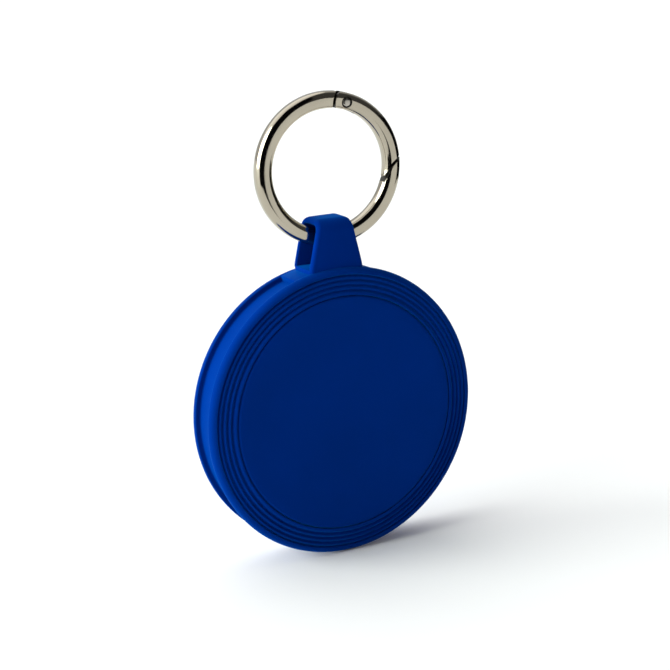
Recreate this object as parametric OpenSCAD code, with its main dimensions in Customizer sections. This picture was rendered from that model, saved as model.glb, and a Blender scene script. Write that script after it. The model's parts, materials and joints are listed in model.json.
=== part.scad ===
// Round tracker tag on a spring-gate ring: a two-flanged disc, a hanging strap and a sprung ring.

/* [Case] */
// Diameter of the front flange, the widest part of the disc
disc_d = 40; // [39.6:0.1:41]
// Thickness of the disc from front face to back face
case_t = 7.7; // [7.6:0.1:8.4]
// Thickness of each flange at its rim
flange_t = 1.55; // [1.45:0.05:1.65]
// Depth of the channel between the flanges
channel_depth = 1.05; // [0.95:0.05:1.1]
// How much smaller the rear flange is in radius
rear_step = 0.3; // [0.2:0.05:0.4]

/* [Front face] */
// Radius of the pressable centre panel
panel_r = 16.2; // [16:0.1:16.25]
// Distance from one rim groove to the next
groove_pitch = 0.67; // [0.6:0.01:0.67]
// Number of rim grooves outside the panel's seam
groove_count = 4; // [2:1:4]
// Angle at which the grooved rim slopes back
rim_slope = 8.3; // [6:0.1:9]

/* [Hanging strap] */
// Width of the strap where it meets the disc
strap_root_w = 7.95; // [7.65:0.05:8.35]
// Width of the strap at its top
strap_top_w = 4.9; // [4.7:0.1:5.4]
// Height of the strap above the disc
strap_h = 6.6; // [6.5:0.1:7]
// Thickness of the strap from front leg to rear leg
strap_t = 5.4; // [5.4:0.05:5.6]
// Gap between the legs, in which the ring lies
strap_gap = 3.85; // [3.8:0.05:3.9]

/* [Ring] */
// Radius of the ring at the middle of its wire
ring_r = 9.25; // [9.1:0.05:9.4]
// Width of the ring's square wire
wire_w = 2.3; // [2.25:0.05:2.35]
// Corner radius of the wire
wire_corner = 0.7; // [0.65:0.05:0.75]
// Angle that the ring is turned about the vertical
ring_yaw = -5; // [-6:0.5:0]

/* [Cell] */
// Diameter of the coin cell
cell_d = 20; // [19.8:0.1:20]
// Thickness of the coin cell
cell_t = 3.2; // [3:0.1:3.2]

/* [Hidden] */
$fn = 96;

case_blue = [0.0, 0.13, 0.45];
ring_nickel = [0.72, 0.68, 0.62];
disc_r = disc_d / 2;
half_t = case_t / 2;
cut = 0.5; // how far a cutter passes through a face

// Case layers, as heights in front of the disc's middle plane
flange_inner = half_t - flange_t;
rim_round = 1.0;
channel_r = disc_r - channel_depth;
rear_r = disc_r - rear_step;
skirt_in = 17.2;
skirt_out = 18.0;
skirt_end = 1.25;
ledge_half = 0.95;
hole_r = panel_r + 0.1;
plate_t = 1.2;

// Press panel
panel_t = 1.0;
panel_back = half_t - panel_t;
panel_travel = 0.3;
lip_r = panel_r + 0.7;
lip_t = 0.28;
nub_r = 1.6;
nub_t = 0.35;

// Electronics
board_front = 1.25;
board_back = 0.55;
board_r = 16.8;
board_flat = 15.3; // height at which the board and frame are cut off under the strap's foot
screw_circle = 15.2;
screw_angles = [30, 150, 270];
screw_r = 0.5;
screw_head_r = 1.0;
frame_back = -2.3;
frame_in = cell_d / 2 + 0.4;
screw_seat = -1.2;
contact_angle = 200;
contact_foot_r = 11.6;
switch_cap_r = 0.9;
sounder_r = 4.4;
sounder_t = 1.1;

// Battery door
door_r = 12.3;
door_hole_r = 12.45;
lug_r = 13.3;
lug_space_r = lug_r + 0.2;
lug_t = 0.3;
lug_span = 24;
door_turn = 28;
ledge_t = 0.72;
seal_r = 0.3;
cell_front = 0.2;
cell_back = cell_front - cell_t;
door_inner = cell_back - 0.05;
pad_t = 0.2;
can_in = cell_d / 2 - 0.3;
cap_r = cell_d / 2 - 0.8;

// Strap and its foot
strap_bend = 1.6;
strap_floor = disc_r - 0.05;
strap_top = disc_r + strap_h;
root_r = disc_r - 0.2;
root_span = 36;
tongue_w = 7;
tongue_half = 0.9;
foot_w = 10;
foot_low = 15.55;
foot_high = 16.4;

// Ring and gate
ring_shift = 0.4;
ring_rise = 13; // height of the ring's centre above the top of the disc
ring_z = disc_d + ring_rise;
wire_half = wire_w / 2;
pin_angle = 73;
pin_at = (ring_r - 0.1) * [cos(pin_angle), sin(pin_angle)];
pin_r = 0.35;
pin_head_r = 0.55;
pin_head_t = 0.18;
heel_r = 1.62;
gate_gap = 0.1;
slot_half = 0.45;
tongue_half_t = 0.4;
eye_r = 0.8;
nose_in = ring_r - 0.25;
nose_out = ring_r + 0.7;
nose_tip_angle = 7;
spring_in = ring_r - 0.3;
spring_out = ring_r + 0.3;
spring_middle = 55;
spring_span = 20;
latch_outer = [10.9, 1.6];
latch_step = [8.95, 0.0];
latch_inner = [7.6, -2.3];

// Puts a shape drawn in the disc's plane onto the disc: drawn up is up, drawn Z is forwards
module on_disc() {
    translate([0, 0, disc_r]) rotate([90, 0, 0]) children();
}

// Puts a shape drawn in the ring's plane onto the ring
module on_ring() {
    translate([ring_shift, 0, ring_z]) rotate([0, 0, ring_yaw]) rotate([90, 0, 0]) children();
}

// A flat ring from back to front
module washer(inner, outer, back, front) {
    rotate_extrude() translate([inner, back]) square([outer - inner, front - back]);
}

// A slice of a flat ring, centred on an angle
module sector(inner, outer, back, front, middle, span) {
    rotate([0, 0, middle - span / 2])
        rotate_extrude(angle = span)
            translate([inner, back]) square([outer - inner, front - back]);
}

module disc(radius, back, front) {
    translate([0, 0, back]) cylinder(r = radius, h = front - back);
}

// A square with round corners, centred
module rounded_square(width, height, corner) {
    square([width, height - 2 * corner], center = true);
    square([width - 2 * corner, height], center = true);
    for (x = [-1, 1], y = [-1, 1])
        translate([x * (width / 2 - corner), y * (height / 2 - corner)]) circle(corner);
}

// Outline of a flange in half section: a face that slopes back from start_r to a round rim
module flange_section(inner, start_r, outer, slope) {
    centre_r = outer - rim_round;
    centre_a = half_t - tan(slope) * (centre_r - start_r) - rim_round / cos(slope);
    touch = [centre_r + rim_round * sin(slope), centre_a + rim_round * cos(slope)];
    intersection() {
        union() {
            polygon([[inner, flange_inner], [inner, half_t], [start_r, half_t], touch,
                [centre_r, centre_a], [outer, centre_a], [outer, flange_inner]]);
            translate([centre_r, centre_a]) circle(rim_round);
        }
        translate([inner, flange_inner]) square([outer, flange_t]);
    }
}

module front_cover_section() {
    groove_r = 0.22;
    groove_lift = 0.07;
    difference() {
        union() {
            flange_section(hole_r, hole_r, disc_r, rim_slope);
            translate([skirt_in, skirt_end]) square([skirt_out - skirt_in, flange_inner - skirt_end + 0.1]);
        }
        translate([0, 0]) square([skirt_in, panel_back + lip_t + 0.05]);
        for (i = [1:groove_count]) {
            r = hole_r + i * groove_pitch;
            translate([r, half_t - tan(rim_slope) * (r - hole_r) + groove_lift]) circle(groove_r);
        }
    }
}

module front_cover() {
    boss_r = 1.3;
    boss_front = panel_back - panel_travel - 0.15;
    color(case_blue) on_disc() {
        difference() {
            union() {
                rotate_extrude() front_cover_section();
                intersection() {
                    disc(skirt_in + 0.1, board_front, boss_front);
                    screw_places() {
                        cylinder(r = boss_r, h = half_t);
                        translate([0, -boss_r, 0]) cube([3, 2 * boss_r, half_t]);
                    }
                }
            }
            screw_places() disc(screw_r, 0, board_front + 0.7);
        }
    }
}

module press_panel() {
    edge = 0.3;
    color(case_blue) on_disc() rotate_extrude() {
        translate([0, panel_back]) square([panel_r, panel_t - edge]);
        translate([0, panel_back]) square([panel_r - edge, panel_t]);
        translate([panel_r - edge, half_t - edge]) circle(edge);
        translate([0, panel_back]) square([lip_r, lip_t]);
    }
}

module panel_nub() {
    color([0.12, 0.12, 0.13]) on_disc() disc(nub_r, panel_back - nub_t, panel_back);
}

module mid_band() {
    color(case_blue) on_disc() difference() {
        union() {
            rotate_extrude() {
                translate([skirt_in, -ledge_half]) square([channel_r - skirt_in, 2 * ledge_half]);
                translate([skirt_out, -flange_inner]) square([channel_r - skirt_out, 2 * flange_inner]);
            }
            sector(skirt_out + 0.3, root_r, -flange_inner, flange_inner, 90, root_span);
        }
        strap_passage(0.05);
    }
}

// The hole in the band's root that the strap's tongue fills
module strap_passage(gap) {
    width = tongue_w + 2 * gap;
    height = 2 * (tongue_half + gap);
    translate([-width / 2, 12, -height / 2]) cube([width, 12, height]);
}

module case_gasket(side) {
    color([0.15, 0.15, 0.16]) on_disc() mirror([0, 0, side])
        washer(skirt_in + 0.05, skirt_out - 0.05, ledge_half, skirt_end);
}

module front_gasket() {
    case_gasket(0);
}

module rear_gasket() {
    case_gasket(1);
}

// The rear cover in half section, with the groove in which the door's lugs turn
module rear_cover_section() {
    rear_flat_r = rear_r - 1.6;
    flange_section(skirt_in, rear_flat_r, rear_r, rim_slope);
    translate([door_hole_r, half_t - ledge_t]) square([skirt_in + 0.1 - door_hole_r, ledge_t]);
    translate([lug_space_r, half_t - plate_t]) square([skirt_in + 0.1 - lug_space_r, plate_t]);
    translate([skirt_in, skirt_end]) square([skirt_out - skirt_in, flange_inner + 0.1 - skirt_end]);
}

// Drawn facing forwards and mirrored, so that its outer face is the back of the disc
module rear_cover() {
    color(case_blue) on_disc() mirror([0, 0, 1]) {
        difference() {
            rotate_extrude() rear_cover_section();
            for (i = [0:2])
                sector(door_hole_r - cut, lug_space_r - 0.05, 0, half_t + cut,
                    90 - door_turn + i * 120, lug_span + 3);
        }
        door_stops();
    }
}

// Blocks in the lug groove that stop the door where it is locked and where it is free
module door_stops() {
    reach = lug_span / 2 + 3;
    for (i = [0:2], stop = [90 + reach, 90 - door_turn - reach])
        sector(door_hole_r + 0.1, lug_space_r + 0.2, half_t - plate_t + 0.1, half_t - ledge_t + 0.1,
            stop + i * 120, 4);
}

module battery_door() {
    lug_front = -(half_t - ledge_t) + lug_t + 0.05;
    seal_middle = -(half_t - 0.4);
    coin_slot = [9, 1.5, 0.4];
    color(case_blue) on_disc() difference() {
        union() {
            disc(door_r, -half_t, lug_front);
            for (i = [0:2])
                sector(door_r - cut, lug_r, lug_front - lug_t, lug_front, 90 + i * 120, lug_span);
        }
        disc(cell_d / 2 + 0.3, door_inner, 0);
        disc(6.1, door_inner - pad_t, 0);
        washer(door_r - 2 * seal_r, door_r + 0.14, seal_middle - seal_r, seal_middle + seal_r);
        translate([-coin_slot[0] / 2, -coin_slot[1] / 2, -half_t - cut])
            cube([coin_slot[0], coin_slot[1], coin_slot[2] + cut]);
        for (side = [-1, 1])
            translate([side * coin_slot[0] / 2, 0, -half_t - cut])
                cylinder(r = coin_slot[1] / 2, h = coin_slot[2] + cut);
    }
}

module door_seal() {
    seal_middle = -(half_t - 0.4);
    color([0.1, 0.1, 0.1]) on_disc()
        rotate_extrude() translate([door_r - seal_r + 0.06, seal_middle]) circle(seal_r - 0.02);
}

module door_pad() {
    color([0.2, 0.2, 0.21]) on_disc() disc(6, door_inner - pad_t, cell_back - 0.03);
}

// Front view of the strap: a wedge with a rounded top, whose foot sinks past the disc's rim
module strap_outline() {
    corner = 0.8;
    overlap = 0.02;
    sunk = 1;
    low = disc_r - sunk;
    slope = (strap_root_w - strap_top_w) / 2 / strap_h;
    lean = atan(slope);
    low_half = strap_root_w / 2 + slope * sunk;
    corner_half = strap_top_w / 2 + slope * corner - corner / cos(lean) + overlap;
    corner_low = strap_top - corner * (1 - sin(lean));
    intersection() {
        polygon([[-low_half, low], [low_half, low],
            [strap_top_w / 2, strap_top], [-strap_top_w / 2, strap_top]]);
        union() {
            translate([-strap_root_w, 0]) square([2 * strap_root_w, corner_low]);
            translate([-corner_half, 0]) square([2 * corner_half, strap_top + corner]);
            for (side = [-1, 1])
                translate([side * corner_half, strap_top - corner]) circle(corner);
        }
    }
}

// Side view of the strap: two legs joined by a round bend, drawn with the height as Y
module strap_side(thickness, top, bend, low) {
    translate([-thickness / 2, low]) square([thickness, top - bend - low]);
    translate([-thickness / 2 + bend, low]) square([thickness - 2 * bend, top - low]);
    for (side = [-1, 1])
        translate([side * (thickness / 2 - bend), top - bend]) circle(bend);
}

// The strap's foot: a tongue through the band's root and a bar that locks behind it
module strap_foot() {
    translate([-tongue_w / 2, foot_low, -tongue_half])
        cube([tongue_w, disc_r - 0.15 - foot_low, 2 * tongue_half]);
    translate([-foot_w / 2, foot_low, -tongue_half])
        cube([foot_w, foot_high - foot_low, 2 * tongue_half]);
}

module hanging_strap() {
    wide = 2 * strap_root_w;
    top_wall = 0.82;
    inner_bend = 0.8;
    rim_gap = 0.02;
    color(case_blue) on_disc() {
        difference() {
            intersection() {
                translate([0, 0, -strap_t / 2]) linear_extrude(strap_t) strap_outline();
                translate([wide / 2, 0, 0]) rotate([0, -90, 0]) linear_extrude(wide)
                    strap_side(strap_t, strap_top, strap_bend, root_r - 2);
            }
            translate([wide / 2, 0, 0]) rotate([0, -90, 0]) linear_extrude(wide)
                strap_side(strap_gap, strap_top - top_wall, inner_bend, strap_floor);
            disc(disc_r + rim_gap, flange_inner, half_t);
            disc(rear_r + rim_gap, -half_t, -flange_inner);
            disc(root_r + rim_gap, -flange_inner, flange_inner);
        }
        strap_foot();
    }
}

module screw_places() {
    for (angle = screw_angles) rotate([0, 0, angle]) translate([screw_circle, 0, 0]) children();
}

// Cuts the board and the frame off square under the strap's foot
module top_flat() {
    translate([-disc_r, board_flat, -half_t]) cube([disc_d, disc_r, case_t]);
}

module carrier_frame() {
    color([0.85, 0.85, 0.83]) on_disc() difference() {
        washer(frame_in, board_r, frame_back, board_back);
        top_flat();
        screw_places() {
            translate([0, 0, -half_t]) cylinder(r = screw_r + 0.1, h = case_t);
            translate([0, 0, -half_t]) cylinder(r = screw_head_r + 0.1, h = half_t + screw_seat);
        }
        sector(frame_in - cut, contact_foot_r + 0.1, cell_front, board_back + cut, contact_angle, 24);
    }
}

module frame_screws() {
    head_t = 0.7;
    drive_r = 0.45;
    color([0.6, 0.6, 0.62]) on_disc() screw_places() difference() {
        union() {
            disc(screw_r, screw_seat - 0.1, board_front + 0.7);
            disc(screw_head_r, screw_seat - head_t, screw_seat);
        }
        translate([0, 0, screw_seat - head_t - cut]) cylinder(r = drive_r, h = 0.35 + cut, $fn = 6);
    }
}

module circuit_board() {
    color([0.05, 0.32, 0.16]) on_disc() difference() {
        disc(board_r, board_back, board_front);
        top_flat();
        screw_places() disc(screw_r + 0.1, 0, half_t);
    }
}

// A box-shaped component soldered to the front of the board
module component(x, y, width, height, thickness) {
    translate([x - width / 2, y - height / 2, board_front]) cube([width, height, thickness]);
}

module radio_chip() {
    color([0.1, 0.1, 0.11]) on_disc() component(-6.5, 3, 5, 5, 0.8);
}

module memory_chip() {
    color([0.1, 0.1, 0.11]) on_disc() component(6, 4.5, 4, 3, 0.7);
}

module crystal() {
    color([0.75, 0.75, 0.76]) on_disc() component(-7, -3.5, 3.2, 2.5, 0.7);
}

module chip_antenna() {
    color([0.9, 0.9, 0.88]) on_disc() component(0, 12.2, 7, 2, 1);
}

module capacitors() {
    color([0.7, 0.55, 0.35]) on_disc() for (i = [0:4]) {
        component(-4 + 2 * i, 8.6, 0.6, 1, 0.5);
        component(-8 + 1.6 * i, -7.4 - 0.8 * i, 1, 0.6, 0.5);
    }
}

module switch_body() {
    color([0.2, 0.2, 0.21]) on_disc() difference() {
        component(0, 0, 4.2, 4.2, 0.75);
        disc(switch_cap_r + 0.08, board_front + 0.2, half_t);
    }
}

module switch_cap() {
    cap_low = board_front + 0.2 + panel_travel + 0.08;
    color([0.92, 0.9, 0.84]) on_disc() disc(switch_cap_r, cap_low, panel_back - nub_t);
}

module on_sounder() {
    on_disc() translate([6.5, -6.5, 0]) children();
}

module sounder_case() {
    color([0.12, 0.12, 0.13]) on_sounder() difference() {
        disc(sounder_r, board_front, board_front + sounder_t);
        disc(sounder_r - 0.4, board_front + 0.2, board_front + sounder_t - 0.2);
        translate([0, 0, board_front + 0.5]) cylinder(r = 0.7, h = sounder_t);
    }
}

module sounder_plate() {
    color([0.8, 0.62, 0.25]) on_sounder() disc(sounder_r - 0.4, board_front + 0.4, board_front + 0.5);
}

module sounder_ceramic() {
    color([0.9, 0.89, 0.86]) on_sounder() disc(sounder_r - 1.4, board_front + 0.5, board_front + 0.65);
}

module cell_can() {
    color([0.78, 0.78, 0.78]) on_disc() difference() {
        disc(cell_d / 2, cell_back, cell_front - 0.2);
        disc(can_in, cell_back + 0.25, cell_front);
    }
}

module cell_grommet() {
    color([0.2, 0.2, 0.22]) on_disc() washer(cap_r, can_in, cell_back + 0.25, cell_front - 0.15);
}

module cell_cap() {
    color([0.82, 0.82, 0.82]) on_disc() {
        disc(cap_r, cell_back + 0.25, cell_front - 0.25);
        disc(cap_r - 0.7, cell_front - 0.3, cell_front);
    }
}

module positive_contact() {
    color([0.85, 0.7, 0.35]) on_disc() {
        sector(cell_d / 2, cell_d / 2 + 0.2, cell_back + 0.8, board_back, contact_angle, 40);
        sector(cell_d / 2, contact_foot_r, board_back - 0.2, board_back, contact_angle, 20);
    }
}

module negative_contact() {
    plate_low = board_back - 0.1;
    tip_at = 6.5;
    color([0.85, 0.7, 0.35]) on_disc() {
        disc(2.5, plate_low, board_back);
        for (i = [0:2]) rotate([0, 0, 30 + i * 120]) {
            translate([0, -0.6, plate_low]) cube([tip_at, 1.2, board_back - plate_low]);
            translate([tip_at, 0, 0]) disc(0.6, cell_front, board_back);
        }
    }
}

// The ring's whole wire as a closed hoop
module wire_hoop() {
    rotate_extrude() translate([ring_r, 0]) rounded_square(wire_w, wire_w, wire_corner);
}

// Region that the gate takes from the hoop, from its rounded heel to its slanted latch
module gate_region(gap) {
    far = 14;
    near = 4;
    hinge_line = [cos(pin_angle), sin(pin_angle)];
    translate([0, 0, -wire_w]) linear_extrude(2 * wire_w) {
        translate(0.7 * gap * [1, -1])
            polygon([latch_inner, latch_step, latch_outer, [far, 8], far * hinge_line, near * hinge_line]);
        translate(pin_at) circle(heel_r + gap);
    }
}

module at_pin() {
    translate(pin_at) children();
}

module ring_body() {
    nose_half = slot_half - 0.08;
    color(ring_nickel) on_ring() difference() {
        union() {
            difference() {
                wire_hoop();
                gate_region(gate_gap);
            }
            sector(ring_r - 0.7, ring_r + 0.7, -tongue_half_t, tongue_half_t, pin_angle + 8, 16);
            at_pin() disc(eye_r, -tongue_half_t, tongue_half_t);
            sector(nose_in, nose_out, -nose_half, nose_half, nose_tip_angle / 2 - 2, nose_tip_angle + 4);
        }
        at_pin() disc(pin_r, -wire_w, wire_w);
    }
}

module gate() {
    latch_slot_end = nose_tip_angle + 8;
    color(ring_nickel) on_ring() difference() {
        intersection() {
            wire_hoop();
            gate_region(0);
        }
        at_pin() {
            disc(heel_r + 0.6, -slot_half, slot_half);
            disc(pin_r + 0.05, -wire_w, wire_w);
            for (side = [0, 1]) mirror([0, 0, side])
                disc(pin_head_r + 0.06, wire_half - pin_head_t - 0.05, wire_w);
        }
        sector(spring_in - 0.2, spring_out + 0.2, -slot_half, slot_half, spring_middle, spring_span + 6);
        sector(nose_in - 0.1, disc_r, -slot_half, slot_half, latch_slot_end - 15, 30);
    }
}

module gate_pin() {
    head_out = wire_half - 0.02;
    color([0.66, 0.63, 0.58]) on_ring() at_pin() {
        disc(pin_r, -head_out, head_out);
        for (side = [0, 1]) mirror([0, 0, side]) disc(pin_head_r, head_out - pin_head_t, head_out);
    }
}

// A hairpin leaf spring, bent at its end away from the hinge
module gate_spring() {
    leaf = 0.15;
    half_w = slot_half - 0.1;
    bend_angle = spring_middle - spring_span / 2;
    color([0.55, 0.56, 0.58]) on_ring() {
        sector(spring_in, spring_in + leaf, -half_w, half_w, spring_middle, spring_span);
        sector(spring_out - leaf, spring_out, -half_w, half_w, spring_middle, spring_span);
        sector(spring_in, spring_out, -half_w, half_w, bend_angle, 1);
    }
}

front_cover();
press_panel();
panel_nub();
mid_band();
front_gasket();
rear_gasket();
rear_cover();
battery_door();
door_seal();
door_pad();
hanging_strap();
carrier_frame();
frame_screws();
circuit_board();
radio_chip();
memory_chip();
crystal();
chip_antenna();
capacitors();
switch_body();
switch_cap();
sounder_case();
sounder_plate();
sounder_ceramic();
cell_can();
cell_grommet();
cell_cap();
positive_contact();
negative_contact();
ring_body();
gate();
gate_pin();
gate_spring();
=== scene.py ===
"""Round blue tracker tag hanging from a nickel spring-gate ring: its looks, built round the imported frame."""
import json
import math

import bmesh
import bpy
from mathutils import Matrix, Vector


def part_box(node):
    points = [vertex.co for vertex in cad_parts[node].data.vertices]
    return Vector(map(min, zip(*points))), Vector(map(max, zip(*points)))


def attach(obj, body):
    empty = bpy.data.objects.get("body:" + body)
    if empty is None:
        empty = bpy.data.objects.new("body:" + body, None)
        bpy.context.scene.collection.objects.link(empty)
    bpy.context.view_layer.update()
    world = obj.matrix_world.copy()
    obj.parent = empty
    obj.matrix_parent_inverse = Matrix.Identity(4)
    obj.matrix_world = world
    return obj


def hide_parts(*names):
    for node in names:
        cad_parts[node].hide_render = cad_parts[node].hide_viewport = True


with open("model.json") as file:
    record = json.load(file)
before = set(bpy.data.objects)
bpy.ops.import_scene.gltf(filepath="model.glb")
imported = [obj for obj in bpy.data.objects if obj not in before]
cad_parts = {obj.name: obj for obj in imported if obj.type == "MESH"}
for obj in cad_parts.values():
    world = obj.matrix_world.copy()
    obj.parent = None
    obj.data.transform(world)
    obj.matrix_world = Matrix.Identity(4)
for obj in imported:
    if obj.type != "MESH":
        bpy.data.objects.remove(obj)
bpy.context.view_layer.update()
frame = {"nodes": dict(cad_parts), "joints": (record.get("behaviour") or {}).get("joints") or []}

MM = 0.001
TO_METRES = Matrix.Scale(MM, 4)
FACING_FRONT = Matrix.Rotation(math.pi / 2, 4, "X")
DISC_STEPS = 256
WIRE_STEPS = 288
SMOOTH_ANGLE = 32


def box_mm(node):
    """A node's lowest and highest corners at rest, in millimetres."""
    low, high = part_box(node)
    return low / MM, high / MM


# ---------------------------------------------------------------- sizes read from the frame, in millimetres
cover_low, cover_high = box_mm("front_cover")
panel_low, panel_high = box_mm("press_panel")
band_low, band_high = box_mm("mid_band")
rear_low, rear_high = box_mm("rear_cover")
strap_high = box_mm("hanging_strap")[1]
gasket_low, gasket_high = box_mm("front_gasket")
seal_low, seal_high = box_mm("door_seal")
ring_low, ring_high = box_mm("ring_body")
joints = {joint["name"]: joint for joint in frame["joints"]}

# Disc: radii from its axis, heights forward of its middle plane, and angles from the right-hand side
DISC = Vector(((cover_high.x + cover_low.x) / 2, 0, (cover_high.z + cover_low.z) / 2))
DISC_R = (cover_high.x - cover_low.x) / 2
HALF_T = -cover_low.y
REAR_R = (rear_high.x - rear_low.x) / 2
LIP_R = (panel_high.x - panel_low.x) / 2
LIP_T = 0.28
PANEL_R = LIP_R - 0.7
PANEL_BACK = -panel_high.y
HOLE_R = PANEL_R + 0.1
CHANNEL_R = 18.95
FLANGE_IN = -band_low.y
LEDGE_HALF = 0.95
ROOT_R = band_high.z - DISC.z
ROOT_SPAN = 36
PASSAGE_HALF, PASSAGE_LOW, PASSAGE_TOP = 3.55, 12, 24
SKIRT_OUT = (gasket_high.x - gasket_low.x) / 2 + 0.05
SKIRT_IN = SKIRT_OUT - 0.8
SKIRT_END = -gasket_low.y
RIM_ROUND = 1.0
RIM_SLOPE = 8.3
BACK_FILLET = 0.2
GROOVE_PITCH = 0.67
GROOVES = 4
GROOVE_DEPTH = 0.34
GROOVE_HALF = 0.2
PLATE_T = 1.2
SCREW_CIRCLE = 15.2
SCREW_ANGLES = (30, 150, 270)

# Battery door: radii, thicknesses, the turn that unlocks it, and the cell seat's height (forward is more)
DOOR_R = 12.3
DOOR_HOLE_R = 12.45
LUG_R = 13.3
LUG_SPACE_R = LUG_R + 0.2
LUG_T = 0.3
LUG_SPAN = 24
LUG_ROOT_R = DOOR_R - 0.5
DOOR_TURN = joints["door_twist"]["range_deg"][1]
LEDGE_T = 0.72
CELL_SEAT = -3.05
COIN_SLOT_HALF = (5.25, 0.75)
COIN_SLOT_DEPTH = 0.4

# Strap: heights above the disc's centre, half widths, half thicknesses and edge radii
STRAP_TOP = strap_high.z - DISC.z
STRAP_HALF_T = strap_high.y
STRAP_WALL = 0.8
STRAP_BEND = 1.6
STRAP_ROOT_HALF = 3.975
STRAP_TOP_HALF = 2.45
STRAP_CORNER = 0.6
STRAP_OUTER_EDGE = 0.5
STRAP_INNER_EDGE = 0.26
TONGUE_HALF, TONGUE_HALF_T, TONGUE_LOW = 3.5, 0.9, 15.55
ANCHOR_HALF, ANCHOR_TOP = 5, 16.4

# Ring: its centre, the radius of its wire's middle and half the wire's width
WIRE_HALF = 1.15
WIRE_CORNER = 0.88
gate_joint = joints["gate_hinge"]
swing_joint = joints["tag_swing"]
RING = Vector((swing_joint["pos_m"][0] / MM, 0, (ring_high.z + ring_low.z) / 2))
WIRE_R = (ring_high.z - ring_low.z) / 2 - WIRE_HALF
RING_YAW = -math.atan2(gate_joint["axis"][0], gate_joint["axis"][1])
ON_DISC = Matrix.Translation(DISC * MM) @ FACING_FRONT @ TO_METRES
ON_RING = Matrix.Translation(RING * MM) @ Matrix.Rotation(RING_YAW, 4, "Z") @ FACING_FRONT @ TO_METRES
PIN = ON_RING.inverted() @ Vector(gate_joint["pos_m"])


# ---------------------------------------------------------------- camera
# Angles in degrees; distances from the middle of the front face, in millimetres
CAMERA_ANGLES = (-27.5, 14.3, -2.06)
CAMERA_AWAY, CAMERA_LEFT, CAMERA_UP = 271.4, 1.6, 10.6


def make_camera():
    azimuth, elevation, roll = (math.radians(angle) for angle in CAMERA_ANGLES)
    back = Vector((math.sin(azimuth) * math.cos(elevation),
                   -math.cos(azimuth) * math.cos(elevation), math.sin(elevation)))
    level = Vector((math.cos(azimuth), math.sin(azimuth), 0))
    right = math.cos(roll) * level + math.sin(roll) * back.cross(level)
    up = back.cross(right)
    face_centre = DISC - Vector((0, HALF_T, 0))
    place = face_centre + CAMERA_AWAY * back - CAMERA_LEFT * right + CAMERA_UP * up
    data = bpy.data.cameras.new("camera")
    data.lens = 107.5
    data.sensor_width = 36
    data.clip_start = 0.01
    camera = bpy.data.objects.new("camera", data)
    bpy.context.scene.collection.objects.link(camera)
    axes = Matrix((right, up, back)).transposed().to_4x4()
    camera.matrix_world = Matrix.Translation(place * MM) @ axes
    bpy.context.scene.camera = camera


make_camera()


# ---------------------------------------------------------------- mesh helpers, drawn in millimetres
def arc(centre, radius, start, end, steps):
    """Points along an arc in a drawing plane, from one angle to another, in degrees."""
    angles = [math.radians(start + (end - start) * i / steps) for i in range(steps + 1)]
    return [(centre[0] + radius * math.cos(a), centre[1] + radius * math.sin(a)) for a in angles]


def revolve(bm, outline, middle=0, span=360, steps=DISC_STEPS):
    """Turns an outline of (radius, height) round the drawing's Z axis.

    An outline that starts and ends on the axis stays open; any other is closed. A part turn has capped ends."""
    full = span >= 360
    turn = Matrix.Rotation(math.radians(middle - span / 2), 3, "Z")
    verts = [bm.verts.new(turn @ Vector((radius, 0, height))) for radius, height in outline]
    pairs = list(zip(verts, verts[1:]))
    if outline[0][0] > 0:
        pairs.append((verts[-1], verts[0]))
    edges = [bm.edges.new(pair) for pair in pairs]
    spun = bmesh.ops.spin(bm, geom=verts + edges, cent=(0, 0, 0), axis=(0, 0, 1),
                          angle=math.radians(span), steps=steps, use_merge=full)
    if not full:
        end = [item for item in spun["geom_last"] if isinstance(item, bmesh.types.BMEdge)]
        for loop in (edges, end):
            bmesh.ops.edgeloop_fill(bm, edges=loop)


def prism(bm, corners, low, high):
    """Lifts a flat closed outline from one height to another."""
    face = bm.faces.new([bm.verts.new((x, y, low)) for x, y in corners])
    lifted = bmesh.ops.extrude_face_region(bm, geom=[face], use_keep_orig=True)["geom"]
    moved = [item for item in lifted if isinstance(item, bmesh.types.BMVert)]
    bmesh.ops.translate(bm, verts=moved, vec=(0, 0, high - low))


def block(bm, low, high, bevel=0.0):
    """A box between two corners, with rounded edges."""
    size = [b - a for a, b in zip(low, high)]
    middle = Vector([(a + b) / 2 for a, b in zip(low, high)])
    shape = Matrix.Translation(middle) @ Matrix.Diagonal((*size, 1))
    made = bmesh.ops.create_cube(bm, size=1, matrix=shape)
    if bevel:
        edges = list({edge for vert in made["verts"] for edge in vert.link_edges})
        bmesh.ops.bevel(bm, geom=edges, offset=bevel, segments=3, profile=0.5,
                        affect="EDGES", material=-1)


def shade(piece, angle=SMOOTH_ANGLE):
    """Shades a piece smooth, except across its sharp edges."""
    piece.data.shade_smooth()
    piece.data.set_sharp_from_angle(angle=math.radians(angle))


def piece_from(bm, name, place, smooth_angle=SMOOTH_ANGLE):
    """Makes a piece of a drawing, placed in the frame, with no doubles and its faces outwards."""
    bmesh.ops.remove_doubles(bm, verts=bm.verts, dist=0.002)
    bmesh.ops.recalc_face_normals(bm, faces=bm.faces)
    bm.transform(place)
    mesh = bpy.data.meshes.new(name)
    bm.to_mesh(mesh)
    bm.free()
    piece = bpy.data.objects.new(name, mesh)
    bpy.context.scene.collection.objects.link(piece)
    shade(piece, smooth_angle)
    return piece


def combine(piece, cutter, operation="DIFFERENCE"):
    """Cuts a piece with another, joins the two, or keeps what they share. The cutter is removed."""
    modifier = piece.modifiers.new("combine", "BOOLEAN")
    modifier.operation = operation
    modifier.solver = "EXACT"
    modifier.object = cutter
    settle(piece)
    bpy.data.objects.remove(cutter)


# The second finish paints cut faces dark, as painted shade in the gaps between ring and gate
POLISHED, CUT_PAINTED_SHADE = 0, 1


def mark_finish(piece, finish):
    """Gives a piece two finishes, polished outside and cut faces in dark steel as painted shade for seams,
    slots and seats, and sets all of it to one of them.
    """
    for _ in (POLISHED, CUT_PAINTED_SHADE):
        piece.data.materials.append(None)
    for polygon in piece.data.polygons:
        polygon.material_index = finish
    return piece


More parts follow.
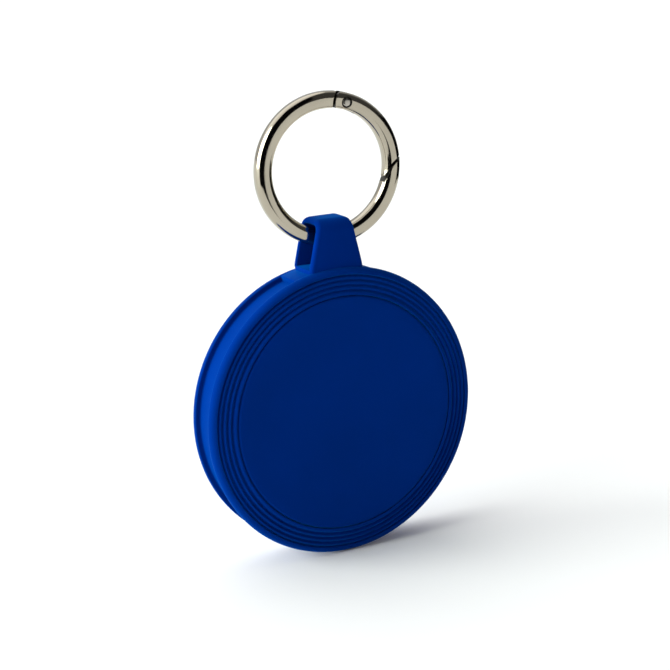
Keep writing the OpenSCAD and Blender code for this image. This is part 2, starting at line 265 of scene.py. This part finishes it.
def settle(piece):
    """Applies a piece's modifiers to its mesh."""
    bpy.context.view_layer.update()
    shaped = bpy.data.meshes.new_from_object(piece.evaluated_get(bpy.context.evaluated_depsgraph_get()))
    piece.modifiers.clear()
    old = piece.data
    piece.data = shaped
    bpy.data.meshes.remove(old)


def soften_edges(piece, width, segments=3, angle=35):
    """Rounds a piece's edges where they turn by more than an angle."""
    modifier = piece.modifiers.new("edges", "BEVEL")
    modifier.width = width * MM
    modifier.segments = segments
    modifier.limit_method = "ANGLE"
    modifier.angle_limit = math.radians(angle)
    modifier.harden_normals = False
    settle(piece)
    shade(piece)


def add_shells(piece, bm, place):
    """Adds more closed shells to a piece."""
    bmesh.ops.recalc_face_normals(bm, faces=bm.faces)
    bm.transform(place)
    bm.from_mesh(piece.data)
    bm.to_mesh(piece.data)
    bm.free()
    shade(piece)


# ---------------------------------------------------------------- case
def rim_profile(outer, start_r):
    """A flange's sloped face end, its round rim and the small fillet on its back edge."""
    slope = math.radians(RIM_SLOPE)
    centre_r = outer - RIM_ROUND
    centre_h = HALF_T - math.tan(slope) * (centre_r - start_r) - RIM_ROUND / math.cos(slope)
    fillet_h = FLANGE_IN + BACK_FILLET
    meet = math.degrees(math.asin(max(0, (fillet_h - centre_h) / RIM_ROUND)))
    rim = arc((centre_r, centre_h), RIM_ROUND, 90 - RIM_SLOPE, meet, steps=14)
    return rim + arc((outer - BACK_FILLET, fillet_h), BACK_FILLET, 0, -90, steps=5)[1:]


def grooved_face():
    """Points along the sloped, grooved border round the panel, from its hole outwards."""
    spacing = 0.045
    start = HOLE_R + 0.16
    end = DISC_R - RIM_ROUND - 0.02
    count = int((end - start) / spacing)
    points = []
    for i in range(count + 1):
        radius = start + (end - start) * i / count
        height = HALF_T - math.tan(math.radians(RIM_SLOPE)) * (radius - HOLE_R)
        for k in range(1, GROOVES + 1):
            away = (radius - HOLE_R - k * GROOVE_PITCH) / GROOVE_HALF
            height -= GROOVE_DEPTH * math.exp(-away * away)
        points.append((radius, height))
    return points


def make_front_cover():
    """The grooved front flange, its skirt and three screw bosses with their ribs."""
    edge = 0.14
    lip_seat = PANEL_BACK + LIP_T + 0.05
    outline = [(HOLE_R, lip_seat)]
    outline += arc((HOLE_R + edge, HALF_T - edge - 0.02), edge, 180, 95, 4)
    outline += grooved_face()
    outline += rim_profile(DISC_R, HOLE_R)
    outline += [(SKIRT_OUT, FLANGE_IN), (SKIRT_OUT, SKIRT_END), (SKIRT_IN, SKIRT_END),
                (SKIRT_IN, lip_seat)]
    bm = bmesh.new()
    revolve(bm, outline)
    boss_back, boss_front = 1.25, 2.4
    bore_r, boss_r, rib_half = 0.5, 1.3, 1.2
    for angle in SCREW_ANGLES:
        boss = bmesh.new()
        revolve(boss, [(bore_r, boss_back), (boss_r, boss_back), (boss_r, boss_front), (bore_r, boss_front)],
                steps=32)
        boss.transform(Matrix.Translation((SCREW_CIRCLE, 0, 0)))
        block(boss, (SCREW_CIRCLE + 1.1, -rib_half, boss_back), (SKIRT_IN + 0.15, rib_half, boss_front))
        boss.transform(Matrix.Rotation(math.radians(angle), 4, "Z"))
        mesh = bpy.data.meshes.new("boss")
        boss.to_mesh(mesh)
        boss.free()
        bm.from_mesh(mesh)
        bpy.data.meshes.remove(mesh)
    return piece_from(bm, "front_shell", ON_DISC)


def make_press_panel():
    """The flat centre of the face, with a soft edge and the lip that keeps it in."""
    soft = 0.42
    side_r = PANEL_R + 0.05
    lip_top = PANEL_BACK + LIP_T
    outline = [(0, PANEL_BACK), (LIP_R, PANEL_BACK), (LIP_R, lip_top), (side_r, lip_top)]
    outline += arc((side_r - soft, HALF_T - soft), soft, 0, 90, 8)
    outline += [(PANEL_R * share, HALF_T) for share in (0.9, 0.6, 0.3, 0)]
    bm = bmesh.new()
    revolve(bm, outline)
    return piece_from(bm, "front_panel", ON_DISC)


def make_mid_band():
    """The channel's wall, and the block under the strap with the passage for the strap's root."""
    fillet = 0.15
    outline = [(SKIRT_IN, -LEDGE_HALF), (SKIRT_OUT, -LEDGE_HALF), (SKIRT_OUT, -FLANGE_IN)]
    outline += arc((CHANNEL_R + fillet, -FLANGE_IN + fillet), fillet, -90, -180, 4)
    outline += arc((CHANNEL_R + fillet, FLANGE_IN - fillet), fillet, 180, 90, 4)
    outline += [(SKIRT_OUT, FLANGE_IN), (SKIRT_OUT, LEDGE_HALF), (SKIRT_IN, LEDGE_HALF)]
    bm = bmesh.new()
    revolve(bm, outline)
    band = piece_from(bm, "channel_band", ON_DISC)
    bm = bmesh.new()
    root_low = SKIRT_OUT + 0.3
    outline = [(root_low, -FLANGE_IN), (ROOT_R, -FLANGE_IN), (ROOT_R, FLANGE_IN), (root_low, FLANGE_IN)]
    revolve(bm, outline, middle=90, span=ROOT_SPAN, steps=24)
    root = piece_from(bm, "root", ON_DISC)
    soften_edges(root, 0.1)
    combine(band, root, "UNION")
    bm = bmesh.new()
    block(bm, (-PASSAGE_HALF, PASSAGE_LOW, -LEDGE_HALF), (PASSAGE_HALF, PASSAGE_TOP, LEDGE_HALF))
    combine(band, piece_from(bm, "passage", ON_DISC))
    shade(band)
    return band


def make_rear_cover():
    """The rear flange, with the door's hole, three entry notches and the lugs' stops."""
    flat_r = REAR_R - 1.6
    edge = 0.12
    ledge = HALF_T - LEDGE_T
    plate = HALF_T - PLATE_T
    outline = [(DOOR_HOLE_R, ledge)]
    outline += arc((DOOR_HOLE_R + edge, HALF_T - edge), edge, 180, 90, 4)
    outline += [(flat_r, HALF_T)] + rim_profile(REAR_R, flat_r)
    outline += [(SKIRT_OUT, FLANGE_IN), (SKIRT_OUT, SKIRT_END), (SKIRT_IN, SKIRT_END), (SKIRT_IN, plate),
                (LUG_SPACE_R, plate), (LUG_SPACE_R, ledge)]
    bm = bmesh.new()
    revolve(bm, [(radius, -height) for radius, height in outline])
    cover = piece_from(bm, "rear_shell", ON_DISC)
    bm = bmesh.new()
    inner, outer = DOOR_HOLE_R - 0.5, LUG_SPACE_R - 0.05
    front, back = 0.5 - plate, -HALF_T - 0.5
    notch = [(inner, front), (outer, front), (outer, back), (inner, back)]
    for i in range(3):
        revolve(bm, notch, middle=90 - DOOR_TURN + i * 120, span=LUG_SPAN + 3, steps=16)
    combine(cover, piece_from(bm, "notches", ON_DISC))
    shade(cover)
    bm = bmesh.new()
    reach = LUG_SPAN / 2 + 3
    inner, outer = DOOR_HOLE_R + 0.1, LUG_SPACE_R + 0.2
    front, back = -plate, -ledge - 0.1
    stop = [(inner, front), (outer, front), (outer, back), (inner, back)]
    for i in range(3):
        for angle in (90 + reach, 90 - DOOR_TURN - reach):
            revolve(bm, stop, middle=angle + i * 120, span=4, steps=4)
    add_shells(cover, bm, ON_DISC)
    return cover


def make_battery_door():
    """The round door, with its seal's groove, the cell's seat, a coin slot and three lugs."""
    edge = 0.1
    lug_front = -(HALF_T - LEDGE_T) + LUG_T + 0.05
    lug_back = lug_front - LUG_T
    seat_r, pad_r, pad_seat = 10.3, 6.1, CELL_SEAT - 0.2
    seal_groove = DOOR_R - 0.6
    groove_back, groove_front = seal_low_high()
    outline = [(0, pad_seat), (pad_r, pad_seat), (pad_r, CELL_SEAT), (seat_r, CELL_SEAT),
               (seat_r, lug_front), (DOOR_R, lug_front), (DOOR_R, groove_front), (seal_groove, groove_front),
               (seal_groove, groove_back), (DOOR_R, groove_back)]
    outline += [(DOOR_R - 0.02, -HALF_T + 0.07)]
    outline += [(radius, -HALF_T) for radius in (DOOR_R - edge, 9, 4, 0)]
    bm = bmesh.new()
    revolve(bm, outline)
    door = piece_from(bm, "door", ON_DISC)
    bm = bmesh.new()
    long_half, wide_half = COIN_SLOT_HALF
    block(bm, (-long_half, -wide_half, -HALF_T - 1), (long_half, wide_half, -HALF_T + COIN_SLOT_DEPTH))
    upright = [e for e in bm.edges if abs(e.verts[0].co.z - e.verts[1].co.z) > 1]
    bmesh.ops.bevel(bm, geom=upright, offset=wide_half - 0.01, segments=8, profile=0.5,
                    affect="EDGES", material=-1)
    combine(door, piece_from(bm, "coin_slot", ON_DISC))
    soften_edges(door, 0.06, segments=2, angle=50)
    bm = bmesh.new()
    lug = [(LUG_ROOT_R, lug_back), (LUG_R, lug_back), (LUG_R, lug_front), (LUG_ROOT_R, lug_front)]
    for i in range(3):
        revolve(bm, lug, middle=90 + i * 120, span=LUG_SPAN, steps=16)
    add_shells(door, bm, ON_DISC)
    return door


def seal_low_high():
    """Heights of the back and front walls of the groove that the door's seal lies in."""
    slack = 0.02
    return -seal_high.y - slack, -seal_low.y + slack


# ---------------------------------------------------------------- strap
def strap_half(height):
    """Half the strap's width at a height above the disc's centre: a wedge with a rounded top."""
    slope = (STRAP_ROOT_HALF - STRAP_TOP_HALF) / (STRAP_TOP - DISC_R)
    half = STRAP_ROOT_HALF - slope * (height - DISC_R)
    corner_base = STRAP_TOP - STRAP_CORNER
    if height > corner_base:
        corner_half = STRAP_TOP_HALF + STRAP_CORNER * (slope - math.hypot(1, slope)) + 0.02
        over = min(height - corner_base, STRAP_CORNER)
        half = min(half, corner_half + math.sqrt(STRAP_CORNER ** 2 - over ** 2))
    return half


def strap_section(wide, outer, inner):
    """Cross-section of the strap's front leg, with rounded edges, as points (across, forward)."""
    soft, tight = STRAP_OUTER_EDGE, STRAP_INNER_EDGE
    points = []
    for side, level, edge, start in ((1, outer - soft, soft, 0), (-1, outer - soft, soft, 90),
                                     (-1, inner + tight, tight, 180), (1, inner + tight, tight, 270)):
        points += arc((side * (wide - edge), level), edge, start, start + 90, 6)
    return points


def make_strap():
    """One section, drawn at the foot of the front leg, goes up, round both bends and down the rear leg."""
    low = DISC_R - 0.55
    bend_z = STRAP_TOP - STRAP_BEND
    bend_y = STRAP_HALF_T - STRAP_BEND
    rise_steps, bend_steps, top_steps = 12, 14, 6
    bm = bmesh.new()
    points = strap_section(STRAP_ROOT_HALF, STRAP_HALF_T, STRAP_HALF_T - STRAP_WALL)
    verts = [bm.verts.new((x, low, forward)) for x, forward in points]
    first = [bm.edges.new(pair) for pair in zip(verts, verts[1:] + verts[:1])]

    def slide(edges, step, count):
        for _ in range(count):
            geom = bmesh.ops.extrude_edge_only(bm, edges=edges)["geom"]
            moved = [g for g in geom if isinstance(g, bmesh.types.BMVert)]
            bmesh.ops.translate(bm, vec=step, verts=moved)
            edges = [g for g in geom if isinstance(g, bmesh.types.BMEdge) and is_across(g, step)]
        return edges

    def is_across(edge, step):
        along = (edge.verts[0].co - edge.verts[1].co).dot(Vector(step).normalized())
        return abs(along) < 1e-5

    def bend(edges, centre):
        geom = edges + list({vert for edge in edges for vert in edge.verts})
        spun = bmesh.ops.spin(bm, geom=geom, cent=centre, axis=(1, 0, 0), angle=-math.pi / 2,
                              steps=bend_steps, use_merge=False)
        return [g for g in spun["geom_last"] if isinstance(g, bmesh.types.BMEdge)]

    edges = slide(first, (0, (bend_z - low) / rise_steps, 0), rise_steps)
    edges = bend(edges, (0, bend_z, bend_y))
    edges = slide(edges, (0, 0, -2 * bend_y / top_steps), top_steps)
    edges = bend(edges, (0, bend_z, -bend_y))
    last = slide(edges, (0, -(bend_z - low) / rise_steps, 0), rise_steps)
    for loop in (first, last):
        bmesh.ops.edgeloop_fill(bm, edges=loop)
    for vert in bm.verts:
        vert.co.x -= math.copysign(STRAP_ROOT_HALF - strap_half(vert.co.y), vert.co.x)
    ledge_half = strap_half(DISC_R)
    foot_half, foot_half_t = ledge_half - 0.03, 2.25
    block(bm, (-foot_half, DISC_R - 1.2, -foot_half_t), (foot_half, DISC_R - 0.05, foot_half_t), 0.1)
    block(bm, (-TONGUE_HALF, TONGUE_LOW, -TONGUE_HALF_T), (TONGUE_HALF, DISC_R - 0.15, TONGUE_HALF_T), 0.08)
    block(bm, (-ANCHOR_HALF, TONGUE_LOW, -TONGUE_HALF_T), (ANCHOR_HALF, ANCHOR_TOP, TONGUE_HALF_T), 0.08)
    return piece_from(bm, "strap_loop", ON_DISC, smooth_angle=40)


# ---------------------------------------------------------------- ring and gate
def wire_section():
    """The wire's rounded square, as points (radius, forward)."""
    flat = WIRE_HALF - WIRE_CORNER
    points = []
    for out, forward, start in ((1, 1, 0), (-1, 1, 90), (-1, -1, 180), (1, -1, 270)):
        points += arc((WIRE_R + out * flat, forward * flat), WIRE_CORNER, start, start + 90, 10)
    return points


def gate_region(gap):
    """The part of the hoop that opens: from a round heel at the hinge pin to a stepped latch."""
    heel_r = 1.62
    far, near = 14, 4
    toward_pin = Vector(PIN).normalized()
    shift = Vector((0.7 * gap, -0.7 * gap, 0))
    latch_step = ((7.6, -2.3, 0), (8.95, 0, 0), (10.9, 1.6, 0))
    corners = [Vector(corner) + shift for corner in (*latch_step, (far, 8, 0))]
    corners += [far * toward_pin + shift, near * toward_pin + shift]
    bm = bmesh.new()
    prism(bm, [(corner.x, corner.y) for corner in corners], -2.5, 2.5)
    region = piece_from(bm, "region", ON_RING)
    bm = bmesh.new()
    bmesh.ops.create_cone(bm, cap_ends=True, segments=72, radius1=heel_r + gap, radius2=heel_r + gap,
                          depth=5, matrix=Matrix.Translation(PIN.xy.to_3d()))
    combine(region, piece_from(bm, "heel", ON_RING), "UNION")
    # Its faces become the seam walls, which get the dark painted-shade finish
    return mark_finish(region, CUT_PAINTED_SHADE)


def make_hoop(name):
    bm = bmesh.new()
    revolve(bm, wire_section(), steps=WIRE_STEPS)
    return mark_finish(piece_from(bm, name, ON_RING), POLISHED)


def flat_arc(bm, inner, outer, half, middle, span, steps):
    """A flat-sided stretch of ring between two radii, as thick to the front as to the back."""
    revolve(bm, [(inner, -half), (outer, -half), (outer, half), (inner, half)], middle, span, steps)


def ring_slice(name, inner, outer, half, middle, span):
    bm = bmesh.new()
    flat_arc(bm, inner, outer, half, middle, span, steps=20)
    return mark_finish(piece_from(bm, name, ON_RING), CUT_PAINTED_SHADE)


def pin_cylinder(name, radius, low, high):
    bm = bmesh.new()
    place = Matrix.Translation((PIN.x, PIN.y, (low + high) / 2))
    bmesh.ops.create_cone(bm, cap_ends=True, segments=48, radius1=radius, radius2=radius,
                          depth=high - low, matrix=place)
    return mark_finish(piece_from(bm, name, ON_RING), CUT_PAINTED_SHADE)


PIN_ANGLE = math.degrees(math.atan2(PIN.y, PIN.x))
SLOT_HALF = 0.45
PIN_R = 0.35
PIN_HEAD_R = 0.55
PIN_HEAD_T = 0.18
PIN_SEAT_R = PIN_HEAD_R + 0.2
NOSE_TIP = 7
SEAM_EDGE = 0.14
SEAM_GAP = 0.4


def make_ring():
    """The fixed arc, with the tongue that holds the pin and the nose that the gate's slot closes over."""
    ring = make_hoop("ring_wire")
    combine(ring, gate_region(SEAM_GAP))
    soften_edges(ring, SEAM_EDGE, segments=3, angle=38)
    bm = bmesh.new()
    tongue_half = 0.4
    flat_arc(bm, WIRE_R - 0.7, WIRE_R + 0.7, tongue_half, PIN_ANGLE + 8, span=16, steps=12)
    nose_half = SLOT_HALF - 0.08
    flat_arc(bm, WIRE_R - 0.25, WIRE_R + 0.7, nose_half, NOSE_TIP / 2 - 2, span=NOSE_TIP + 4, steps=12)
    eye_r = 0.8
    bmesh.ops.create_cone(bm, cap_ends=True, segments=40, radius1=eye_r, radius2=eye_r,
                          depth=2 * tongue_half, matrix=Matrix.Translation(PIN.xy.to_3d()))
    add_shells(ring, bm, ON_RING)
    return ring


def make_gate():
    """The sprung arc, slotted for the tongue, the nose and the spring, with seats for the pin's heads."""
    gate = make_hoop("ring_gate")
    combine(gate, gate_region(0), "INTERSECT")
    combine(gate, pin_cylinder("heel_slot", 2.22, -SLOT_HALF, SLOT_HALF))
    for side in (-1, 1):
        ends = sorted((side * (WIRE_HALF - 0.5), side * 3))
        combine(gate, pin_cylinder("head_seat", PIN_SEAT_R, *ends))
    combine(gate, ring_slice("nose_slot", WIRE_R - 0.35, 20, SLOT_HALF, NOSE_TIP - 7, 30))
    combine(gate, ring_slice("spring_slot", WIRE_R - 0.5, WIRE_R + 0.5, SLOT_HALF, 55, 26))
    soften_edges(gate, SEAM_EDGE, segments=3, angle=38)
    return gate


def make_pin():
    head_out = WIRE_HALF - 0.02
    head_in = head_out - PIN_HEAD_T
    dome = [(PIN_HEAD_R, head_in), (PIN_HEAD_R, head_out - 0.09), (PIN_HEAD_R - 0.04, head_out - 0.04),
            (PIN_HEAD_R - 0.12, head_out - 0.015), (PIN_HEAD_R - 0.35, head_out), (0, head_out)]
    outline = [(0, -head_out)] + [(radius, -height) for radius, height in reversed(dome[:-1])]
    outline += [(PIN_R, -head_in), (PIN_R, head_in)] + dome
    bm = bmesh.new()
    revolve(bm, outline, steps=48)
    return piece_from(bm, "hinge_pin", ON_RING @ Matrix.Translation(PIN.xy.to_3d()))


# ---------------------------------------------------------------- materials
def new_material(name):
    material = bpy.data.materials.new(name)
    material.use_nodes = True
    nodes = material.node_tree.nodes
    return material, nodes, material.node_tree.links, nodes["Principled BSDF"]


def colour(red, green, blue):
    """A shader colour from screen values between 0 and 255."""
    linear = [((value / 255 + 0.055) / 1.055) ** 2.4 if value > 10 else value / 255 / 12.92
              for value in (red, green, blue)]
    return (*linear, 1)


def object_noise(nodes, links, scale, detail=3, roughness=0.55, stretch=None):
    """Noise on a piece's own coordinates. The scale is in cells per metre."""
    place = nodes.new("ShaderNodeTexCoord").outputs["Object"]
    if stretch:
        mapping = nodes.new("ShaderNodeMapping")
        mapping.inputs["Scale"].default_value = stretch
        links.new(place, mapping.inputs["Vector"])
        place = mapping.outputs["Vector"]
    noise = nodes.new("ShaderNodeTexNoise")
    noise.inputs["Scale"].default_value = scale
    noise.inputs["Detail"].default_value = detail
    noise.inputs["Roughness"].default_value = roughness
    links.new(place, noise.inputs["Vector"])
    return noise.outputs["Fac"]


def spread(nodes, links, value, low, high):
    """Stretches the middle of a noise onto a range."""
    span = nodes.new("ShaderNodeMapRange")
    span.inputs["From Min"].default_value = 0.3
    span.inputs["From Max"].default_value = 0.7
    span.inputs["To Min"].default_value = low
    span.inputs["To Max"].default_value = high
    links.new(value, span.inputs["Value"])
    return span.outputs["Result"]


def two_tone(nodes, links, value, first, second):
    ramp = nodes.new("ShaderNodeValToRGB")
    ramp.color_ramp.elements[0].position = 0.3
    ramp.color_ramp.elements[0].color = first
    ramp.color_ramp.elements[1].position = 0.7
    ramp.color_ramp.elements[1].color = second
    links.new(value, ramp.inputs["Fac"])
    return ramp.outputs["Color"]


def add_bump(nodes, links, shader, height, distance):
    """Raises a surface's detail by a distance in millimetres."""
    bump = nodes.new("ShaderNodeBump")
    bump.inputs["Strength"].default_value = 1
    bump.inputs["Distance"].default_value = distance * MM
    links.new(height, bump.inputs["Height"])
    links.new(bump.outputs["Normal"], shader.inputs["Normal"])


BLUE_GLOSS = (0.02, 0.3, 1, 1)
VELVET_TINT = (0, 0.32, 1, 1)


def moulded(name, first, second, rough_low, rough_high, grain=9000, grain_depth=0.004,
            specular=0.5, tint=(1, 1, 1, 1), velvet=0.0):
    """Moulded plastic or rubber: faint cloudiness, uneven sheen and a fine spark-eroded grain."""
    material, nodes, links, shader = new_material(name)
    cloud = object_noise(nodes, links, 90, detail=4)
    links.new(two_tone(nodes, links, cloud, first, second), shader.inputs["Base Color"])
    sheen = object_noise(nodes, links, 600, detail=5)
    links.new(spread(nodes, links, sheen, rough_low, rough_high), shader.inputs["Roughness"])
    shader.inputs["Specular IOR Level"].default_value = specular
    shader.inputs["Specular Tint"].default_value = tint
    shader.inputs["Sheen Weight"].default_value = velvet
    shader.inputs["Sheen Roughness"].default_value = 0.4
    shader.inputs["Sheen Tint"].default_value = VELVET_TINT
    add_bump(nodes, links, shader, object_noise(nodes, links, grain, detail=3, roughness=0.6), grain_depth)
    return material


def metal(name, first, second, rough_low, rough_high, stretch=None, grain=2500, grain_depth=0.0006):
    """Metal with faint tone changes, fine handling marks and an uneven polish."""
    material, nodes, links, shader = new_material(name)
    tone = object_noise(nodes, links, 160, detail=4)
    links.new(two_tone(nodes, links, tone, first, second), shader.inputs["Base Color"])
    shader.inputs["Metallic"].default_value = 1
    polish = object_noise(nodes, links, grain / 4, detail=6, roughness=0.65, stretch=stretch)
    links.new(spread(nodes, links, polish, rough_low, rough_high), shader.inputs["Roughness"])
    marks = object_noise(nodes, links, grain, detail=4, roughness=0.6, stretch=stretch)
    add_bump(nodes, links, shader, marks, grain_depth)
    return material


def board_material():
    """Green solder resist with faint copper tracks under it."""
    material, nodes, links, shader = new_material("circuit_board")
    place = nodes.new("ShaderNodeTexCoord").outputs["Object"]
    cells = nodes.new("ShaderNodeTexVoronoi")
    cells.distance = "MANHATTAN"
    cells.feature = "DISTANCE_TO_EDGE"
    cells.inputs["Scale"].default_value = 420
    links.new(place, cells.inputs["Vector"])
    tracks = nodes.new("ShaderNodeValToRGB")
    tracks.color_ramp.elements[0].position = 0.03
    tracks.color_ramp.elements[0].color = colour(40, 120, 62)
    tracks.color_ramp.elements[1].position = 0.06
    tracks.color_ramp.elements[1].color = colour(16, 74, 40)
    links.new(cells.outputs["Distance"], tracks.inputs["Fac"])
    links.new(tracks.outputs["Color"], shader.inputs["Base Color"])
    sheen = object_noise(nodes, links, 500)
    links.new(spread(nodes, links, sheen, 0.28, 0.4), shader.inputs["Roughness"])
    add_bump(nodes, links, shader, tracks.outputs["Color"], 0.01)
    return material


case_blue = moulded("case_blue", colour(0, 39, 119), colour(0, 41, 125), 0.36, 0.46,
                    specular=0.004, tint=BLUE_GLOSS, velvet=0.35)
strap_blue = moulded("strap_blue", colour(0, 36, 117), colour(0, 38, 123), 0.42, 0.52, grain=7000,
                     grain_depth=0.005, specular=0.0015, tint=BLUE_GLOSS, velvet=0.3)
nickel = metal("polished_nickel", colour(169, 161, 145), colour(179, 171, 155), 0.06, 0.12)
pin_steel = metal("pin_steel", colour(168, 163, 154), colour(182, 177, 168), 0.16, 0.28)
# Near-black steel for the cut faces: painted shade in the ring's seams, slots and pin seats
cut_faces_painted_shade = metal("cut_faces_painted_shade", colour(46, 43, 39), colour(66, 62, 56), 0.3, 0.45)
cell_steel = metal("cell_steel", colour(196, 196, 192), colour(210, 210, 206), 0.2, 0.34,
                   stretch=(1, 1, 12))
screw_steel = metal("screw_steel", colour(150, 150, 152), colour(176, 176, 178), 0.25, 0.4)
spring_steel = metal("spring_steel", colour(160, 160, 162), colour(180, 180, 180), 0.18, 0.3)
contact_gold = metal("contact_gold", colour(208, 172, 96), colour(220, 186, 112), 0.22, 0.34)
sounder_brass = metal("sounder_brass", colour(200, 166, 92), colour(212, 178, 104), 0.22, 0.36)
black_rubber = moulded("black_rubber", colour(26, 26, 28), colour(34, 34, 36), 0.6, 0.75, grain=5000,
                       grain_depth=0.01)
grey_foam = moulded("grey_foam", colour(62, 62, 66), colour(80, 80, 84), 0.85, 0.95, grain=3500,
                    grain_depth=0.05)
frame_grey = moulded("frame_grey", colour(56, 57, 61), colour(66, 67, 71), 0.44, 0.56)
chip_black = moulded("chip_black", colour(24, 25, 27), colour(34, 35, 37), 0.5, 0.62)
ceramic_tan = moulded("ceramic_tan", colour(190, 170, 140), colour(206, 188, 160), 0.3, 0.42)
ceramic_white = moulded("ceramic_white", colour(222, 220, 212), colour(234, 232, 226), 0.25, 0.36)
switch_plastic = moulded("switch_plastic", colour(40, 40, 44), colour(54, 54, 58), 0.42, 0.54)

CAD_FINISHES = {
    "panel_nub": black_rubber, "front_gasket": black_rubber, "rear_gasket": black_rubber,
    "door_seal": black_rubber, "door_pad": grey_foam, "carrier_frame": frame_grey,
    "frame_screws": screw_steel, "circuit_board": board_material(), "radio_chip": chip_black,
    "memory_chip": chip_black, "crystal": cell_steel, "chip_antenna": ceramic_white,
    "capacitors": ceramic_tan, "switch_body": screw_steel, "switch_cap": switch_plastic,
    "sounder_case": chip_black, "sounder_plate": sounder_brass, "sounder_ceramic": ceramic_white,
    "cell_can": cell_steel, "cell_cap": cell_steel, "cell_grommet": black_rubber,
    "positive_contact": contact_gold, "negative_contact": contact_gold, "gate_spring": spring_steel,
}


# ---------------------------------------------------------------- build
def place_piece(piece, body, node, slot, *materials):
    """Lets a piece stand for a CAD node on its body, in its finish, or in its two finishes in order."""
    while len(piece.data.materials) < len(materials):
        piece.data.materials.append(None)
    for index, material in enumerate(materials):
        piece.data.materials[index] = material
    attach(piece, body)
    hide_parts(node)


place_piece(make_front_cover(), "tag", "front_cover", "case", case_blue)
place_piece(make_press_panel(), "press_button", "press_panel", "case", case_blue)
place_piece(make_mid_band(), "tag", "mid_band", "case", case_blue)
place_piece(make_rear_cover(), "tag", "rear_cover", "case", case_blue)
place_piece(make_battery_door(), "door", "battery_door", "case", case_blue)
place_piece(make_strap(), "tag", "hanging_strap", "strap", strap_blue)
place_piece(make_ring(), "ring", "ring_body", "ring_metal", nickel, cut_faces_painted_shade)
place_piece(make_gate(), "gate", "gate", "ring_metal", nickel, cut_faces_painted_shade)
place_piece(make_pin(), "ring", "gate_pin", "steel", pin_steel)

for node, material in CAD_FINISHES.items():
    shown = frame["nodes"][node]
    for material_slot in shown.material_slots:
        material_slot.material = material


# ---------------------------------------------------------------- floor and light
FLAG_DISTANCE = 170
FLAG_WIDTH = 108
FLAG_BLACK = (0.003, 0.003, 0.004)
TALL_FLAG, LOW_FLAG = 420, 110


def make_floor():
    bm = bmesh.new()
    bmesh.ops.create_grid(bm, x_segments=1, y_segments=1, size=4)
    mesh = bpy.data.meshes.new("floor")
    bm.to_mesh(mesh)
    bm.free()
    floor = bpy.data.objects.new("floor", mesh)
    bpy.context.scene.collection.objects.link(floor)
    material, nodes, links, shader = new_material("pale_floor")
    tone = object_noise(nodes, links, 3)
    links.new(two_tone(nodes, links, tone, (0.86, 0.86, 0.87, 1), (0.87, 0.87, 0.88, 1)),
              shader.inputs["Base Color"])
    shader.inputs["Roughness"].default_value = 0.6
    shader.inputs["Specular IOR Level"].default_value = 0.2
    shader.inputs["Emission Color"].default_value = (1, 0.92, 0.88, 1)
    shader.inputs["Emission Strength"].default_value = 0.035
    mesh.materials.append(material)


def reflected_flag(name, azimuth, height):
    """A dark upright panel round the ring, seen only in reflections. The azimuth is as a sun's."""
    bm = bmesh.new()
    around = math.radians(azimuth)
    low, half = 1, FLAG_WIDTH / 2
    corners = [(-half, low), (half, low), (half, height), (-half, height)]
    bm.faces.new([bm.verts.new((x, 0, z)) for x, z in corners])
    centre = Vector((RING.x + FLAG_DISTANCE * math.sin(around), -FLAG_DISTANCE * math.cos(around), 0))
    bm.transform(TO_METRES @ Matrix.Translation(centre) @ Matrix.Rotation(around, 4, "Z"))
    mesh = bpy.data.meshes.new(name)
    bm.to_mesh(mesh)
    bm.free()
    flag = bpy.data.objects.new(name, mesh)
    bpy.context.scene.collection.objects.link(flag)
    material, nodes, links, shader = new_material(name)
    shader.inputs["Base Color"].default_value = (0, 0, 0, 1)
    shader.inputs["Specular IOR Level"].default_value = 0
    shader.inputs["Emission Color"].default_value = (*FLAG_BLACK, 1)
    shader.inputs["Emission Strength"].default_value = 1
    mesh.materials.append(material)
    flag.visible_camera = False
    flag.visible_diffuse = False
    flag.visible_shadow = False
    flag.visible_transmission = False


def soft_sun(name, azimuth, elevation, strength, spread_angle, tint=(1, 1, 1)):
    """A very soft sun. The azimuth turns from the front, anticlockwise from above."""
    data = bpy.data.lights.new(name, "SUN")
    data.energy = strength
    data.angle = math.radians(spread_angle)
    data.color = tint
    lamp = bpy.data.objects.new(name, data)
    bpy.context.scene.collection.objects.link(lamp)
    around, up = math.radians(azimuth), math.radians(elevation)
    source = Vector((math.sin(around) * math.cos(up), -math.cos(around) * math.cos(up), math.sin(up)))
    lamp.matrix_world = source.to_track_quat("Z", "Y").to_matrix().to_4x4()


def make_world(front, back):
    """A plain studio dome, dim in front of the object and brighter behind it."""
    world = bpy.data.worlds.new("studio")
    world.use_nodes = True
    nodes, links = world.node_tree.nodes, world.node_tree.links
    background = nodes["Background"]
    background.inputs["Color"].default_value = (0.96, 0.98, 1, 1)
    direction = nodes.new("ShaderNodeSeparateXYZ")
    links.new(nodes.new("ShaderNodeTexCoord").outputs["Generated"], direction.inputs["Vector"])
    strength = nodes.new("ShaderNodeMapRange")
    strength.interpolation_type = "SMOOTHSTEP"
    strength.inputs["From Min"].default_value = -0.2
    strength.inputs["From Max"].default_value = 0.5
    strength.inputs["To Min"].default_value = front
    strength.inputs["To Max"].default_value = back
    links.new(direction.outputs["Y"], strength.inputs["Value"])
    links.new(strength.outputs["Result"], background.inputs["Strength"])
    bpy.context.scene.world = world


make_floor()
for index, (azimuth, height) in enumerate(((-43, TALL_FLAG), (-8, TALL_FLAG), (62, LOW_FLAG), (97, LOW_FLAG))):
    reflected_flag(f"flag_{index}", azimuth, height)
make_world(front=0.08, back=0.66)
soft_sun("back_key", azimuth=-140, elevation=58, strength=1.55, spread_angle=85)
soft_sun("left_window", azimuth=-95, elevation=15, strength=6.4, spread_angle=60, tint=(0.94, 1, 0.94))
bpy.context.scene.view_settings.view_transform = "Standard"
